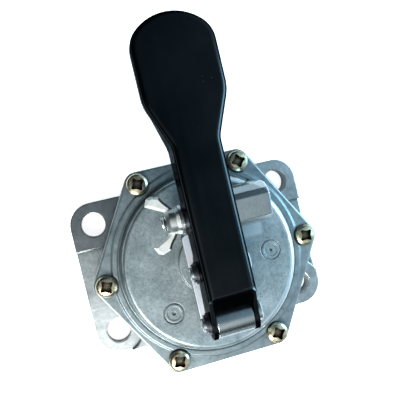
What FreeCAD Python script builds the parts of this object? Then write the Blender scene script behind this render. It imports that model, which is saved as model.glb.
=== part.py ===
import FreeCAD, Part
import math
import os
from types import SimpleNamespace
from FreeCAD import Placement, Rotation, Vector

# Hand primer pump: a diaphragm pump that lies on its flat mounting face.
# Origin: centre of the mounting face. +Z: out of the cover. +Y: along the lever to its paddle.

SIZES = [
    # mounting plate and housing
    ("hole_span_x", 88.6, "mounting holes, centre to centre across"),
    ("hole_span_y", 50.4, "mounting holes, centre to centre along"),
    ("mount_hole_r", 5.5, "mounting hole radius"),
    ("ear_r", 10.3, "rounded corner of the plate about its hole"),
    ("pad_over", 0.7, "thick corner of the plate beyond that radius, at the pivot's end"),
    ("plate_t", 4.7, "plate thickness between the ears"),
    ("ear_t", 7.2, "plate thickness at the ears"),
    ("relief_y", 14.4, "half height of the thin side of the plate"),
    ("relief_x", 37.0, "where the thin side of the plate begins"),
    ("split_z", 27.0, "height of the joint between housing and cover"),
    ("wall_t", 7.0, "housing wall about the chamber"),
    ("foot_in", 5.0, "foot of the housing inside its wall"),
    ("foot_top", 11.0, "height at which the foot meets the housing wall"),
    ("rim_t", 5.5, "housing flange thickness"),
    ("chamber_r", 32.0, "pump chamber radius"),
    ("chamber_floor", 13.0, "height of the chamber floor"),
    ("well_r", 8.0, "radius of the well for the rod nut"),
    ("well_floor", 9.5, "height of the floor of that well"),
    # screw circle and cover
    ("head_room", 3.05, "room between the raised disc and the screw heads"),
    ("corner_r", 5.4, "flange corner radius about each screw"),
    ("flange_t", 5.0, "cover flange thickness"),
    ("screw_r", 2.5, "cover screw radius"),
    ("screw_play", 0.25, "play of a screw in the cover"),
    ("thread_play", 0.05, "play of a thread in its hole"),
    ("screw_len", 16.0, "screw length under its head"),
    ("screw_hole_over", 1.0, "tapped hole beyond the screw's end"),
    ("boss_drop", 13.0, "depth of the screw bosses"),
    ("head_r", 4.55, "screw head radius"),
    ("head_h", 3.1, "screw head height"),
    ("recess_tip", 3.1, "reach of the cross recess's arms"),
    ("recess_tip_w", 0.7, "width of an arm at its end"),
    ("recess_waist", 1.95, "middle of the cross recess to the corner between two arms"),
    ("recess_d", 2.0, "depth of the cross recess"),
    ("spot_play", 0.55, "spot-face beyond the screw head"),
    ("disc_h", 6.0, "height of the raised disc over the flange"),
    ("disc_draft", 1.2, "draft of the disc's wall"),
    ("disc_round", 1.8, "rounding of the disc's edge"),
    ("band_gap", 2.2, "groove's outer side beyond the disc"),
    ("band_w", 1.9, "width of the raised band round the disc"),
    ("band_slope", 0.7, "slope at the band's outer side"),
    ("band_h", 0.9, "height of the band over the flange"),
    ("groove_h", 0.55, "height of the groove's floor over the flange"),
    ("rim_round", 0.9, "rounding of the flange's top edge"),
    ("hub_r", 13.4, "radius of the low round boss about the rod"),
    ("hub_h", 2.0, "height of that boss"),
    ("rail_w", 20.4, "width of the raised platform under the lever"),
    ("rail_h", 4.2, "height of the platform over the disc"),
    ("rail_front", 13.5, "end of the platform on the paddle's side"),
    ("rail_behind", 7.7, "platform behind the pivot"),
    ("dome_h", 2.0, "height of the hollow above the flange's top"),
    ("guide_r", 9.0, "radius of the rod guide inside the cover"),
    ("guide_drop", 2.5, "guide's end, below the flange's top"),
    ("mark_r", 4.35, "radius of an ejector mark"),
    ("mark_w", 0.5, "width of the ring about an ejector mark"),
    ("mark_core_r", 2.9, "radius of the mark's sunk middle"),
    ("mark_dot_r", 0.75, "radius of the dot in the mark"),
    ("mark_d", 0.35, "depth of an ejector mark's ring"),
    ("mark_inset", 10.2, "ejector marks' centres inside the disc's edge"),
    ("right_mark_turn", -3.6, "bearing of the right ejector mark, degrees"),
    ("left_mark_turn", 220.7, "bearing of the left ejector mark, degrees"),
    # diaphragm
    ("diaphragm_t", 1.5, "diaphragm thickness"),
    ("seat_w", 5.4, "width of the diaphragm's rim on its seat"),
    ("bead_room", 4.1, "room between the diaphragm's rim and the screws"),
    ("seat_play", 0.1, "play of the rim in its recess"),
    ("dish", 9.2, "depth of the diaphragm's dish at rest"),
    ("roll_w", 8.0, "width of the diaphragm's free ring"),
    ("upper_plate_t", 2.0, "upper plate thickness"),
    ("lower_plate_t", 1.5, "lower plate thickness"),
    ("plate_lip", 1.2, "turned-up rim of a diaphragm plate"),
    # pull rod
    ("rod_r", 4.0, "pull rod radius"),
    ("rod_run", 0.03, "running clearance of the rod in its bush"),
    ("tail_r", 3.0, "radius of the rod's threaded tail"),
    ("nut_h", 3.5, "rod nut height"),
    ("nut_af", 10.0, "rod nut across flats"),
    ("tail_over", 0.6, "tail beyond the rod nut"),
    ("bush_r", 6.0, "bush outside radius"),
    ("bush_len", 3.6, "bush length"),
    ("lip_r", 4.6, "hole above the rod seal"),
    ("lip_t", 2.0, "thickness above the rod seal"),
    ("seal_wire", 1.9, "rod seal section"),
    ("eye_w", 10.0, "eye width across the lever"),
    ("eye_len", 13.0, "eye length along the lever"),
    ("eye_h", 11.0, "eye height"),
    ("slot_play", 0.35, "play of the pin in the eye's slot, up and down"),
    ("slot_run", 1.9, "run of the pin in the eye's slot, along the lever"),
    # return spring
    ("coil_r", 6.1, "return spring mean radius"),
    ("coil_wire", 1.4, "return spring wire"),
    ("coil_turns", 5.0, "return spring turns"),
    ("coil_play", 0.8, "play round the return spring"),
    ("cap_t", 1.5, "spring cap thickness"),
    ("cap_over", 0.3, "spring cap beyond the spring"),
    # lever
    ("pivot_y", 19.8, "pivot pin behind the rod"),
    ("pin_z", 26.0, "height of both pins over the flange's top"),
    ("pin_r", 2.5, "pin radius"),
    ("pin_run", 0.05, "running clearance of the pivot pin"),
    ("pin_play", 0.02, "play of a pin in the lever"),
    ("cap_room", 0.4, "room between the spring cap and the lever's walls"),
    ("lever_t", 1.6, "lever sheet thickness"),
    ("web_z", 39.0, "height of the lever's top over the flange's top"),
    ("wall_h", 15.0, "depth of the channel"),
    ("web_end", 10.2, "end of the lever's top behind the rod"),
    ("lip_h", 3.4, "depth of the turned-down end of the top"),
    ("tongue_out", 4.2, "reach of the sloping tongue beyond that end"),
    ("tongue_drop", 4.4, "drop of the tongue's tip"),
    ("ear_out", 6.6, "lever ear radius about each pin"),
    ("neck_y", 47.5, "start of the paddle's flare"),
    ("flare_len", 16.5, "length of the paddle's flare"),
    ("slope_from", 0.5, "start of the walls' slope beyond the neck"),
    ("slope_to", 11.5, "end of the walls' slope beyond the neck"),
    ("paddle_w", 31.6, "paddle width"),
    ("paddle_end", 94.8, "tip of the paddle"),
    ("bow_share", 0.57, "bow of the paddle's end for its half width"),
    ("paddle_rim", 5.4, "depth of the paddle's rim"),
    ("neck_r", 9.0, "neck radius"),
    ("shoulder_r", 16.0, "shoulder radius"),
    ("tip_share", 0.665, "corner radius of the paddle's end for its half width"),
    ("edge_r", 2.2, "bend radius of the lever's long edges"),
    ("lug_play", 0.35, "play of the lug between the lever's walls"),
    ("lug_r", 6.2, "pivot lug radius"),
    ("lug_foot", 2.2, "spread of the lug's foot"),
    ("ridge_back", 4.9, "ridge of the lug behind the pivot"),
    ("ridge_up", 4.4, "height of that ridge over the pivot"),
    # pins' small parts
    ("pin_head_r", 3.9, "pin head radius"),
    ("pin_head_t", 2.2, "pin head thickness"),
    ("side_play", 0.1, "play between stacked side parts"),
    ("washer_r", 4.2, "pin washer radius"),
    ("washer_t", 0.9, "pin washer thickness"),
    ("clip_r", 3.6, "pin clip radius"),
    ("clip_t", 0.8, "pin clip thickness"),
    ("groove_d", 0.5, "depth of the clip's groove"),
    ("pin_tip", 1.3, "pin beyond its clip"),
    # lock
    ("lock_y", 20.5, "lock stud in front of the rod"),
    ("lock_z", 19.0, "height of the lock stud over the flange's top"),
    ("stud_r", 3.0, "lock stud radius"),
    ("stud_end", 17.4, "stud's free end, left of the middle"),
    ("stud_grip", 13.0, "stud's length in its boss"),
    ("lock_boss_r", 7.9, "lock boss radius"),
    ("lock_boss_end", 25.6, "lock boss's right end"),
    ("boss_gap", 0.3, "gap between the lever and the lock boss"),
    ("flat_from", 71.0, "bearing where the boss's top flat begins, degrees"),
    ("flat_to", 137.0, "bearing where that flat ends, degrees"),
    ("facet_from", 52.0, "bearing where the narrow facet beside it begins, degrees"),
    ("facet_low", 24.0, "bearing of the corner below that facet, degrees"),
    ("facet_back", 160.0, "bearing of the corner behind the flat, degrees"),
    ("boss_round", 0.9, "rounding of the lock boss's end"),
    ("tab_w", 11.6, "width of the lever's lock tab"),
    ("tab_drop", 5.2, "tab below the stud's axis"),
    ("gate_w", 7.6, "width of the tab's slot"),
    ("gate_flare", 1.2, "widening of the slot at its mouth"),
    ("lock_washer_r", 6.0, "lock washer radius"),
    ("lock_washer_t", 1.2, "lock washer thickness"),
    ("nut_hub_r", 4.9, "wing nut hub radius"),
    ("nut_hub_len", 5.2, "wing nut hub length"),
    ("wing_span", 23.0, "wing nut span"),
    ("wing_reach", 12.0, "wing nut length with its wings"),
    ("wing_t", 2.6, "wing thickness"),
    ("wing_bevel", 38.0, "slope of a wing's edges, degrees"),
    ("wing_root", 5.4, "hub left bare in front of the wings"),
    # check valves
    ("valve_x", 18.0, "valves either side of the middle"),
    ("port_r", 5.0, "port radius"),
    ("port_len", 4.0, "port length"),
    ("valve_r", 8.5, "valve pocket radius"),
    ("valve_play", 0.03, "play of a pressed ring in its pocket"),
    ("valve_seat_t", 2.5, "valve seat thickness"),
    ("valve_seat_r", 4.5, "valve seat bore radius"),
    ("flap_r", 6.4, "valve disc radius"),
    ("flap_t", 1.5, "valve disc thickness"),
    ("stem_r", 1.4, "valve stem radius"),
    ("stem_run", 0.06, "running clearance of the stem"),
    ("stem_short", 0.2, "stem's end below the retainer's outer face"),
    ("retainer_t", 1.6, "valve retainer thickness"),
    ("window_r", 1.7, "retainer window radius"),
    ("window_circle_r", 5.2, "circle of the retainer's windows"),
    ("valve_coil_r", 3.0, "valve spring mean radius"),
    ("valve_wire", 0.6, "valve spring wire"),
    ("valve_turns", 3.0, "valve spring turns"),
    # port rings
    ("ring_r", 7.2, "port ring mean radius"),
    ("ring_wire", 2.3, "port ring section"),
    ("ring_play", 0.1, "play of a port ring in its groove"),
]


class Size:
    """A number together with the sheet expression that gives it."""

    def __init__(self, value, text):
        self.value = float(value)
        self.text = text

    def __add__(self, other):
        other = size_of(other)
        return Size(self.value + other.value, "(%s + %s)" % (self.text, other.text))

    def __sub__(self, other):
        other = size_of(other)
        return Size(self.value - other.value, "(%s - %s)" % (self.text, other.text))

    def __mul__(self, other):
        other = size_of(other)
        return Size(self.value * other.value, "(%s * %s)" % (self.text, other.text))

    def __truediv__(self, other):
        other = size_of(other)
        return Size(self.value / other.value, "(%s / %s)" % (self.text, other.text))

    def __radd__(self, other):
        return size_of(other) + self

    def __rsub__(self, other):
        return size_of(other) - self

    def __rmul__(self, other):
        return size_of(other) * self

    def __pow__(self, power):
        return Size(self.value ** power, "(%s ^ %s)" % (self.text, power))

    def __neg__(self):
        return Size(-self.value, "(0 - %s)" % self.text)


def size_of(number):
    if isinstance(number, Size):
        return number
    return Size(number, repr(float(number)))


def polar(radius, bearing):
    """X and Y of a point at a radius and a bearing in degrees."""
    turned_to = math.radians(bearing.value)
    across = Size(math.cos(turned_to), "cos(%s * 1 deg)" % bearing.text)
    along = Size(math.sin(turned_to), "sin(%s * 1 deg)" % bearing.text)
    return radius * across, radius * along


doc = FreeCAD.newDocument("HandPrimerPump")
sheet = doc.addObject("Spreadsheet::Sheet", "Sizes")
names = {}
for row, (alias, number, meaning) in enumerate(SIZES, start=1):
    sheet.set("A%d" % row, alias)
    sheet.set("B%d" % row, str(number))
    sheet.set("C%d" % row, meaning)
    sheet.setAlias("B%d" % row, alias)
    names[alias] = Size(number, "Sizes.%s" % alias)
d = SimpleNamespace(**names)
doc.recompute()

# Heights and places that several pieces share
body_r = d.chamber_r + d.wall_t
foot_r = body_r - d.foot_in
clamp_r = d.chamber_r - d.roll_w
bead_r = d.chamber_r + d.seat_w
screw_circle_r = bead_r + d.bead_room + d.screw_r
disc_r = screw_circle_r - d.head_r - d.head_room
band_r = disc_r + d.band_gap + d.band_w
rail_back = d.pivot_y + d.rail_behind
flange_z = d.split_z + d.flange_t
disc_z = flange_z + d.disc_h
rail_z = disc_z + d.rail_h
pin_axis_z = flange_z + d.pin_z
lock_axis_z = flange_z + d.lock_z
web_top = flange_z + d.web_z
wall_bottom = web_top - d.wall_h
coil_out_r = d.coil_r + d.coil_wire / 2
cap_r = coil_out_r + d.cap_over
inner_half = cap_r + d.cap_room
half_lever = inner_half + d.lever_t
lever_w = half_lever * 2
seat_z = d.split_z - d.diaphragm_t
dish_top = d.split_z - d.dish
dish_bottom = dish_top - d.diaphragm_t
eye_bottom = pin_axis_z - d.eye_h / 2
flat_r = screw_circle_r * (math.sqrt(3) / 2) + d.corner_r
STEPS_A_TURN = 14
WIRE_SIDES = 8

kept = []


def body(name):
    piece = doc.addObject("PartDesign::Body", name)
    piece.Label = name
    kept.append(piece)
    return piece


def sketch(piece, role, offset=None):
    drawn = piece.newObject("Sketcher::SketchObject", piece.Name + "_sketch")
    plane = [item for item in piece.Origin.OriginFeatures if item.Role == role][0]
    drawn.AttachmentSupport = [(plane, "")]
    drawn.MapMode = "FlatFace"
    if offset is not None:
        offset = size_of(offset)
        drawn.AttachmentOffset = Placement(Vector(0, 0, offset.value), Rotation())
        drawn.setExpression("AttachmentOffset.Base.z", offset.text)
    return drawn


def pin_point(drawn, index, end, x, y):
    """Ties one point of the sketch to its two distances from the origin."""
    import Sketcher
    for kind, axis, given in (("DistanceX", -2, x), ("DistanceY", -1, y)):
        given = size_of(given)
        if given.value == 0 and given.text == "0.0":
            drawn.addConstraint(Sketcher.Constraint("PointOnObject", index, end, axis))
        else:
            made = drawn.addConstraint(Sketcher.Constraint(kind, -1, 1, index, end, given.value))
            drawn.setExpression("Constraints[%d]" % made, given.text)


def polygon(drawn, points, arcs=None):
    """Closed outline; arcs maps a side's number to a point on it and its centre's x or y."""
    import Sketcher
    arcs = arcs or {}
    places = [Vector(size_of(x).value, size_of(y).value, 0) for x, y in points]
    first = drawn.GeometryCount
    total = len(places)
    for side in range(total):
        start = places[side]
        stop = places[(side + 1) % total]
        if side in arcs:
            middle = Vector(size_of(arcs[side][0]).value, size_of(arcs[side][1]).value, 0)
            edge = Part.Arc(start, middle, stop)
        else:
            edge = Part.LineSegment(start, stop)
        drawn.addGeometry(edge, False)
    starts = {}
    for side in range(total):
        starts[side] = 1
        if side in arcs:
            shape = drawn.Geometry[first + side]
            near = (shape.StartPoint - places[side]).Length
            starts[side] = 1 if near < 1e-6 else 2
    for side in range(total):
        after = (side + 1) % total
        drawn.addConstraint(Sketcher.Constraint(
            "Coincident", first + side, 3 - starts[side], first + after, starts[after]))
    for side in range(total):
        pin_point(drawn, first + side, starts[side], points[side][0], points[side][1])
    for side, (_, _, letter, given) in arcs.items():
        made = drawn.addConstraint(
            Sketcher.Constraint("Distance" + letter, -1, 1, first + side, 3, given.value))
        drawn.setExpression("Constraints[%d]" % made, given.text)


def circle(drawn, x, y, radius):
    import Sketcher
    radius = size_of(radius)
    centre = Vector(size_of(x).value, size_of(y).value, 0)
    index = drawn.addGeometry(Part.Circle(centre, Vector(0, 0, 1), radius.value), False)
    pin_point(drawn, index, 3, x, y)
    made = drawn.addConstraint(Sketcher.Constraint("Radius", index, radius.value))
    drawn.setExpression("Constraints[%d]" % made, radius.text)


def box_points(x0, x1, y0, y1):
    return [(x0, y0), (x1, y0), (x1, y1), (x0, y1)]


def pad(piece, drawn, length, reverse=False):
    made = piece.newObject("PartDesign::Pad", piece.Name + "_pad")
    made.Profile = drawn
    made.Length = size_of(length).value
    made.setExpression("Length", size_of(length).text)
    made.Reversed = reverse
    return made


def pocket(piece, drawn, length=None, reverse=False):
    made = piece.newObject("PartDesign::Pocket", piece.Name + "_pocket")
    made.Profile = drawn
    made.Reversed = reverse
    if length is None:
        made.Type = "ThroughAll"
    else:
        made.Length = size_of(length).value
        made.setExpression("Length", size_of(length).text)
    return made


def turn(piece, drawn, axis, kind="PartDesign::Revolution"):
    made = piece.newObject(kind, piece.Name + "_turn")
    made.Profile = drawn
    made.ReferenceAxis = (drawn, [axis])
    made.Angle = 360.0
    return made


def round_edges(piece, wanted, radius, kind="PartDesign::Fillet"):
    """Rounds the edges of the piece so far for which wanted(edge) is true."""
    doc.recompute()
    base = piece.Tip
    chosen = []
    for number, edge in enumerate(base.Shape.Edges, start=1):
        if wanted(edge):
            chosen.append("Edge%d" % number)
    made = piece.newObject(kind, piece.Name + "_round")
    made.Base = (base, chosen)
    field = "Radius" if kind.endswith("Fillet") else "Size"
    setattr(made, field, size_of(radius).value)
    made.setExpression(field, size_of(radius).text)
    return made


def around(piece, features, count):
    """Repeats features evenly about the Z axis."""
    made = piece.newObject("PartDesign::PolarPattern", piece.Name + "_pattern")
    made.Originals = features
    z_axis = [item for item in piece.Origin.OriginFeatures if item.Role == "Z_Axis"][0]
    made.Axis = (z_axis, [""])
    made.Angle = 360.0
    made.Occurrences = count
    piece.Tip = made
    return made


def upright(edge, low, high):
    """A straight edge along Z that spans low to high."""
    box = edge.BoundBox
    return (box.XLength < 1e-6 and box.YLength < 1e-6
            and abs(box.ZMin - low) < 1e-4 and abs(box.ZMax - high) < 1e-4)


def level(edge, height):
    box = edge.BoundBox
    return box.ZLength < 1e-6 and abs(box.ZMin - height) < 1e-4


def put(piece, x=0, y=0, z=0):
    """Places a piece and ties its place to the sheet."""
    place = [size_of(x), size_of(y), size_of(z)]
    piece.Placement = Placement(Vector(*[each.value for each in place]), piece.Placement.Rotation)
    for letter, each in zip("xyz", place):
        piece.setExpression("Placement.Base.%s" % letter, each.text)


def turned(name, profile, along="Z", place=(0, 0, 0)):
    """A turned piece: profile pairs are (radius, height) for Z, (length, radius) for X."""
    piece = body(name)
    drawn = sketch(piece, "XZ_Plane" if along == "Z" else "XY_Plane")
    polygon(drawn, profile)
    turn(piece, drawn, "V_Axis" if along == "Z" else "H_Axis")
    put(piece, *place)
    return piece


def ring(name, mean_r, wire, x, z):
    piece = doc.addObject("Part::Torus", name)
    piece.Label = name
    piece.setExpression("Radius1", size_of(mean_r).text)
    piece.setExpression("Radius2", (size_of(wire) / 2).text)
    put(piece, x, 0, z)
    kept.append(piece)
    return piece


def coil(name, mean_r, wire, turns, length, x, z):
    """A coil spring of flat facets whose wire stays inside its length, standing on z."""
    rise = length.value - wire.value
    slope = math.atan2(rise, 2 * math.pi * mean_r.value * turns.value)
    steps = int(round(turns.value * STEPS_A_TURN))
    rings = []
    for step in range(steps + 1):
        angle = 2 * math.pi * turns.value * step / steps
        outward = Vector(math.cos(angle), math.sin(angle), 0)
        forward = Vector(-math.sin(angle) * math.cos(slope), math.cos(angle) * math.cos(slope), math.sin(slope))
        across = outward.cross(forward)
        centre = outward * mean_r.value + Vector(0, 0, rise * step / steps)
        loop = []
        for corner in range(WIRE_SIDES):
            turned_to = 2 * math.pi * corner / WIRE_SIDES
            loop.append(centre + (outward * math.cos(turned_to) + across * math.sin(turned_to)) * (wire.value / 2))
        rings.append(loop)
    faces = [Part.Face(Part.makePolygon(rings[0] + rings[0][:1])),
             Part.Face(Part.makePolygon(rings[-1] + rings[-1][:1]))]
    for low, high in zip(rings, rings[1:]):
        for corner in range(WIRE_SIDES):
            after = (corner + 1) % WIRE_SIDES
            faces.append(Part.Face(Part.makePolygon([low[corner], low[after], high[after], low[corner]])))
            faces.append(Part.Face(Part.makePolygon([low[corner], high[after], high[corner], low[corner]])))
    solid = Part.makeSolid(Part.makeShell(faces))
    if solid.Volume < 0:
        solid.reverse()
    piece = doc.addObject("Part::Feature", name)
    piece.Label = name
    piece.Shape = solid
    put(piece, x, 0, z + wire / 2)
    kept.append(piece)
    return piece


def hexagon(drawn, flat):
    """A hexagon with corners on the X axis, given its half width across flats."""
    corner = flat * (2 / math.sqrt(3))
    half = corner / 2
    polygon(drawn, [(corner, 0), (half, flat), (-half, flat), (-corner, 0), (-half, -flat), (half, -flat)])


# Housing: mounting plate, round chamber body and hexagon rim, one casting
housing = body("pump_housing")
plate_x = d.hole_span_x / 2 + d.ear_r
plate_y = d.hole_span_y / 2 + d.ear_r
drawn = sketch(housing, "XY_Plane")
polygon(drawn, box_points(-plate_x, plate_x, -plate_y, plate_y))
pad(housing, drawn, d.ear_t)
round_edges(housing, lambda edge: upright(edge, 0, d.ear_t.value), d.ear_r)
drawn = sketch(housing, "XY_Plane", d.ear_t)
pad_r = d.ear_r + d.pad_over
pad_side = (pad_r * pad_r - d.ear_r * d.ear_r) ** 0.5
pad_top = pad_r - d.hole_span_y / 2
mid_turn = Size(math.sqrt(0.5), "sqrt(0.5)")
for side in (1, -1):
    hole_x = d.hole_span_x / 2 * side
    polygon(drawn, [((plate_x + 1) * side, d.relief_y), ((plate_x + 1) * side, pad_side - d.hole_span_y / 2),
                    (plate_x * side, pad_side - d.hole_span_y / 2), (hole_x, pad_top),
                    (d.relief_x * side, pad_top), (d.relief_x * side, d.relief_y)],
            {2: (hole_x + pad_r * mid_turn * side, pad_r * mid_turn - d.hole_span_y / 2,
                 "X", hole_x)})
pocket(housing, drawn, d.ear_t - d.plate_t)
round_edges(housing, lambda edge: upright(edge, d.plate_t.value, d.ear_t.value)
            and abs(edge.BoundBox.XMin) < plate_x.value - 0.01 and edge.BoundBox.YMin > 0, 3.0)
drawn = sketch(housing, "XZ_Plane")
polygon(drawn, [(0, 0), (foot_r, 0), (foot_r, d.ear_t), (body_r, d.foot_top),
                (body_r, d.split_z - 0.5), (0, d.split_z - 0.5)])
turn(housing, drawn, "V_Axis")
drawn = sketch(housing, "XY_Plane", d.split_z)
hexagon(drawn, flat_r)
pad(housing, drawn, d.rim_t, reverse=True)
round_edges(housing, lambda edge: upright(edge, (d.split_z - d.rim_t).value, d.split_z.value)
            and math.hypot(edge.BoundBox.XMin, edge.BoundBox.YMin) > screw_circle_r.value, d.corner_r)
drawn = sketch(housing, "XY_Plane", d.split_z - 0.2)
circle(drawn, screw_circle_r, 0, d.corner_r)
boss = pad(housing, drawn, d.boss_drop, reverse=True)
around(housing, [boss], 6)
drawn = sketch(housing, "XZ_Plane")
polygon(drawn, [(0, d.well_floor), (d.well_r, d.well_floor), (d.well_r, d.chamber_floor),
                (d.chamber_r - 2, d.chamber_floor), (d.chamber_r, d.chamber_floor + 2),
                (d.chamber_r, seat_z), (bead_r + d.seat_play, seat_z),
                (bead_r + d.seat_play, d.split_z + 1), (0, d.split_z + 1)])
turn(housing, drawn, "V_Axis", "PartDesign::Groove")
drawn = sketch(housing, "XY_Plane", d.split_z)
circle(drawn, screw_circle_r, 0, d.screw_r + d.thread_play)
tapped = pocket(housing, drawn, d.screw_len - d.flange_t + d.screw_hole_over)
around(housing, [tapped], 6)
drawn = sketch(housing, "XY_Plane", d.chamber_floor + 0.5)
circle(drawn, d.valve_x, 0, d.valve_r)
circle(drawn, -d.valve_x, 0, d.valve_r)
pocket(housing, drawn, d.chamber_floor + 0.5 - d.port_len)
drawn = sketch(housing, "XY_Plane", d.port_len + 1)
circle(drawn, d.valve_x, 0, d.port_r)
circle(drawn, -d.valve_x, 0, d.port_r)
pocket(housing, drawn, d.port_len + 2)
drawn = sketch(housing, "XY_Plane")
for side in (1, -1):
    circle(drawn, d.valve_x * side, 0, d.ring_r + d.ring_wire / 2 + d.ring_play)
    circle(drawn, d.valve_x * side, 0, d.ring_r - d.ring_wire / 2 - d.ring_play)
pocket(housing, drawn, d.ring_wire + d.ring_play, reverse=True)
drawn = sketch(housing, "XY_Plane", d.ear_t + 1)
for side in (1, -1):
    for end in (1, -1):
        circle(drawn, d.hole_span_x / 2 * side, d.hole_span_y / 2 * end, d.mount_hole_r)
pocket(housing, drawn, d.ear_t + 2)

# Cover: hexagon flange, low step, raised disc, platform, pivot lug and lock boss, one casting
cover = body("top_cover")
drawn = sketch(cover, "XY_Plane", d.split_z)
hexagon(drawn, flat_r)
pad(cover, drawn, d.flange_t)
round_edges(cover, lambda edge: upright(edge, d.split_z.value, flange_z.value), d.corner_r)
round_edges(cover, lambda edge: level(edge, flange_z.value), d.rim_round)
drawn = sketch(cover, "XZ_Plane")
polygon(drawn, [(0, flange_z - 1), (band_r + d.band_slope, flange_z - 1), (band_r + d.band_slope, flange_z),
                (band_r, flange_z + d.band_h), (band_r - d.band_w, flange_z + d.band_h),
                (band_r - d.band_w - 0.2, flange_z + d.groove_h), (disc_r + d.disc_draft + 0.3, flange_z + d.groove_h),
                (disc_r + d.disc_draft, flange_z + d.band_h), (disc_r, disc_z),
                (d.hub_r + 0.3, disc_z), (d.hub_r, disc_z + d.hub_h), (0, disc_z + d.hub_h)])
turn(cover, drawn, "V_Axis")
round_edges(cover, lambda edge: level(edge, disc_z.value) and edge.BoundBox.XMax > disc_r.value - 0.1, d.disc_round)
drawn = sketch(cover, "XY_Plane", disc_z - 0.5)
polygon(drawn, box_points(-d.rail_w / 2, d.rail_w / 2, -rail_back, d.rail_front))
pad(cover, drawn, d.rail_h + 0.5)
round_edges(cover, lambda edge: upright(edge, disc_z.value, rail_z.value)
            or upright(edge, (disc_z + d.hub_h).value, rail_z.value), 2.0)
# pivot lug: a round eye on a tapered foot
lug_half = inner_half - d.lug_play
drawn = sketch(cover, "YZ_Plane", -lug_half)
circle(drawn, -d.pivot_y, pin_axis_z, d.lug_r)
pad(cover, drawn, lug_half * 2)
drawn = sketch(cover, "YZ_Plane", -lug_half)
polygon(drawn, [(-d.pivot_y - d.lug_r - d.lug_foot, disc_z - 0.5), (-d.pivot_y + d.lug_r + d.lug_foot, disc_z - 0.5),
                (-d.pivot_y + d.lug_r, pin_axis_z), (-d.pivot_y, pin_axis_z + d.ridge_up),
                (-d.pivot_y - d.ridge_back, pin_axis_z + d.ridge_up),
                (-d.pivot_y - d.lug_r - 0.5, pin_axis_z)])
pad(cover, drawn, lug_half * 2)
# lock boss: a block with a faceted round top right of the lever
boss_start = half_lever + d.boss_gap
drawn = sketch(cover, "YZ_Plane", boss_start)
facets = []
for bearing in (d.facet_low, d.facet_from, d.flat_from, d.flat_to, d.facet_back):
    along, up = polar(d.lock_boss_r, bearing)
    facets.append((d.lock_y + along, lock_axis_z + up))
polygon(drawn, [(d.lock_y - d.lock_boss_r - 0.6, flange_z - 0.5), (d.lock_y + d.lock_boss_r + 0.6, flange_z - 0.5),
                (d.lock_y + d.lock_boss_r, lock_axis_z)] + facets + [(d.lock_y - d.lock_boss_r, lock_axis_z)])
pad(cover, drawn, d.lock_boss_end - boss_start)
round_edges(cover, lambda edge: abs(edge.BoundBox.XMin - d.lock_boss_end.value) < 1e-4
            and edge.BoundBox.XLength < 1e-6 and edge.BoundBox.ZMin > lock_axis_z.value - 0.1, d.boss_round)
# hollow under the cover, rod guide, seal seat and spring well
well_z = flange_z + d.dome_h + 3.0
seal_top = well_z - d.lip_t
bush_top = seal_top - d.seal_wire - 0.1
drawn = sketch(cover, "XZ_Plane")
polygon(drawn, [(0, d.split_z - 1), (d.chamber_r, d.split_z - 1), (d.chamber_r, flange_z + d.dome_h - 1.5),
                (d.chamber_r - 1.5, flange_z + d.dome_h), (d.guide_r, flange_z + d.dome_h),
                (d.guide_r, flange_z - d.guide_drop), (d.bush_r, flange_z - d.guide_drop),
                (d.bush_r, seal_top), (d.lip_r, seal_top), (d.lip_r, well_z),
                (coil_out_r + d.coil_play, well_z), (coil_out_r + d.coil_play, rail_z + 1), (0, rail_z + 1)])
turn(cover, drawn, "V_Axis", "PartDesign::Groove")
drawn = sketch(cover, "XY_Plane", flange_z + 1)
circle(drawn, screw_circle_r, 0, d.screw_r + d.screw_play)
clear = pocket(cover, drawn, d.flange_t + 2)
around(cover, [clear], 6)
drawn = sketch(cover, "XY_Plane", flange_z + 2)
circle(drawn, screw_circle_r, 0, d.head_r + d.spot_play)
spot = pocket(cover, drawn, 2)
around(cover, [spot], 6)
drawn = sketch(cover, "YZ_Plane", lug_half + 1)
circle(drawn, -d.pivot_y, pin_axis_z, d.pin_r + d.pin_run)
pocket(cover, drawn, lug_half * 2 + 2)
drawn = sketch(cover, "YZ_Plane", boss_start - 0.1)
circle(drawn, d.lock_y, lock_axis_z, d.stud_r + d.thread_play)
pocket(cover, drawn, d.stud_grip + 0.6, reverse=True)
mark_circle_r = disc_r - d.mark_inset
for radii, depth in (((d.mark_r, d.mark_r - d.mark_w), d.mark_d), ((d.mark_core_r,), d.mark_d / 2),
                     ((d.mark_dot_r,), d.mark_d * 2)):
    drawn = sketch(cover, "XY_Plane", disc_z)
    for bearing in (d.right_mark_turn, d.left_mark_turn):
        for radius in radii:
            circle(drawn, *polar(mark_circle_r, bearing), radius)
    pocket(cover, drawn, depth)

# One cover screw: pan head with a cross recess
screw = doc.addObject("PartDesign::Body", "screw_pattern")
drawn = sketch(screw, "XZ_Plane")
head_top = d.head_h
polygon(drawn, [(0, -d.screw_len), (d.screw_r - 0.5, -d.screw_len), (d.screw_r, 0.5 - d.screw_len), (d.screw_r, 0),
                (d.head_r, 0), (d.head_r, head_top * 0.45), (d.head_r * 0.93, head_top * 0.72),
                (d.head_r * 0.74, head_top * 0.92), (d.head_r * 0.4, head_top), (0, head_top)])
turn(screw, drawn, "V_Axis")
waist = d.recess_waist * math.sqrt(0.5)
tip = d.recess_tip_w / 2
drawn = sketch(screw, "XY_Plane", head_top + 0.2)
polygon(drawn, [(d.recess_tip, -tip), (d.recess_tip, tip), (waist, waist), (tip, d.recess_tip),
                (-tip, d.recess_tip), (-waist, waist), (-d.recess_tip, tip), (-d.recess_tip, -tip),
                (-waist, -waist), (-tip, -d.recess_tip), (tip, -d.recess_tip), (waist, -waist)])
cross = pocket(screw, drawn, d.recess_d + 0.2)
cross.TaperAngle = -9
doc.recompute()
copies = []
SCREW_SPINS = (36, 7, 25, 27, 30, 14)
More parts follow.
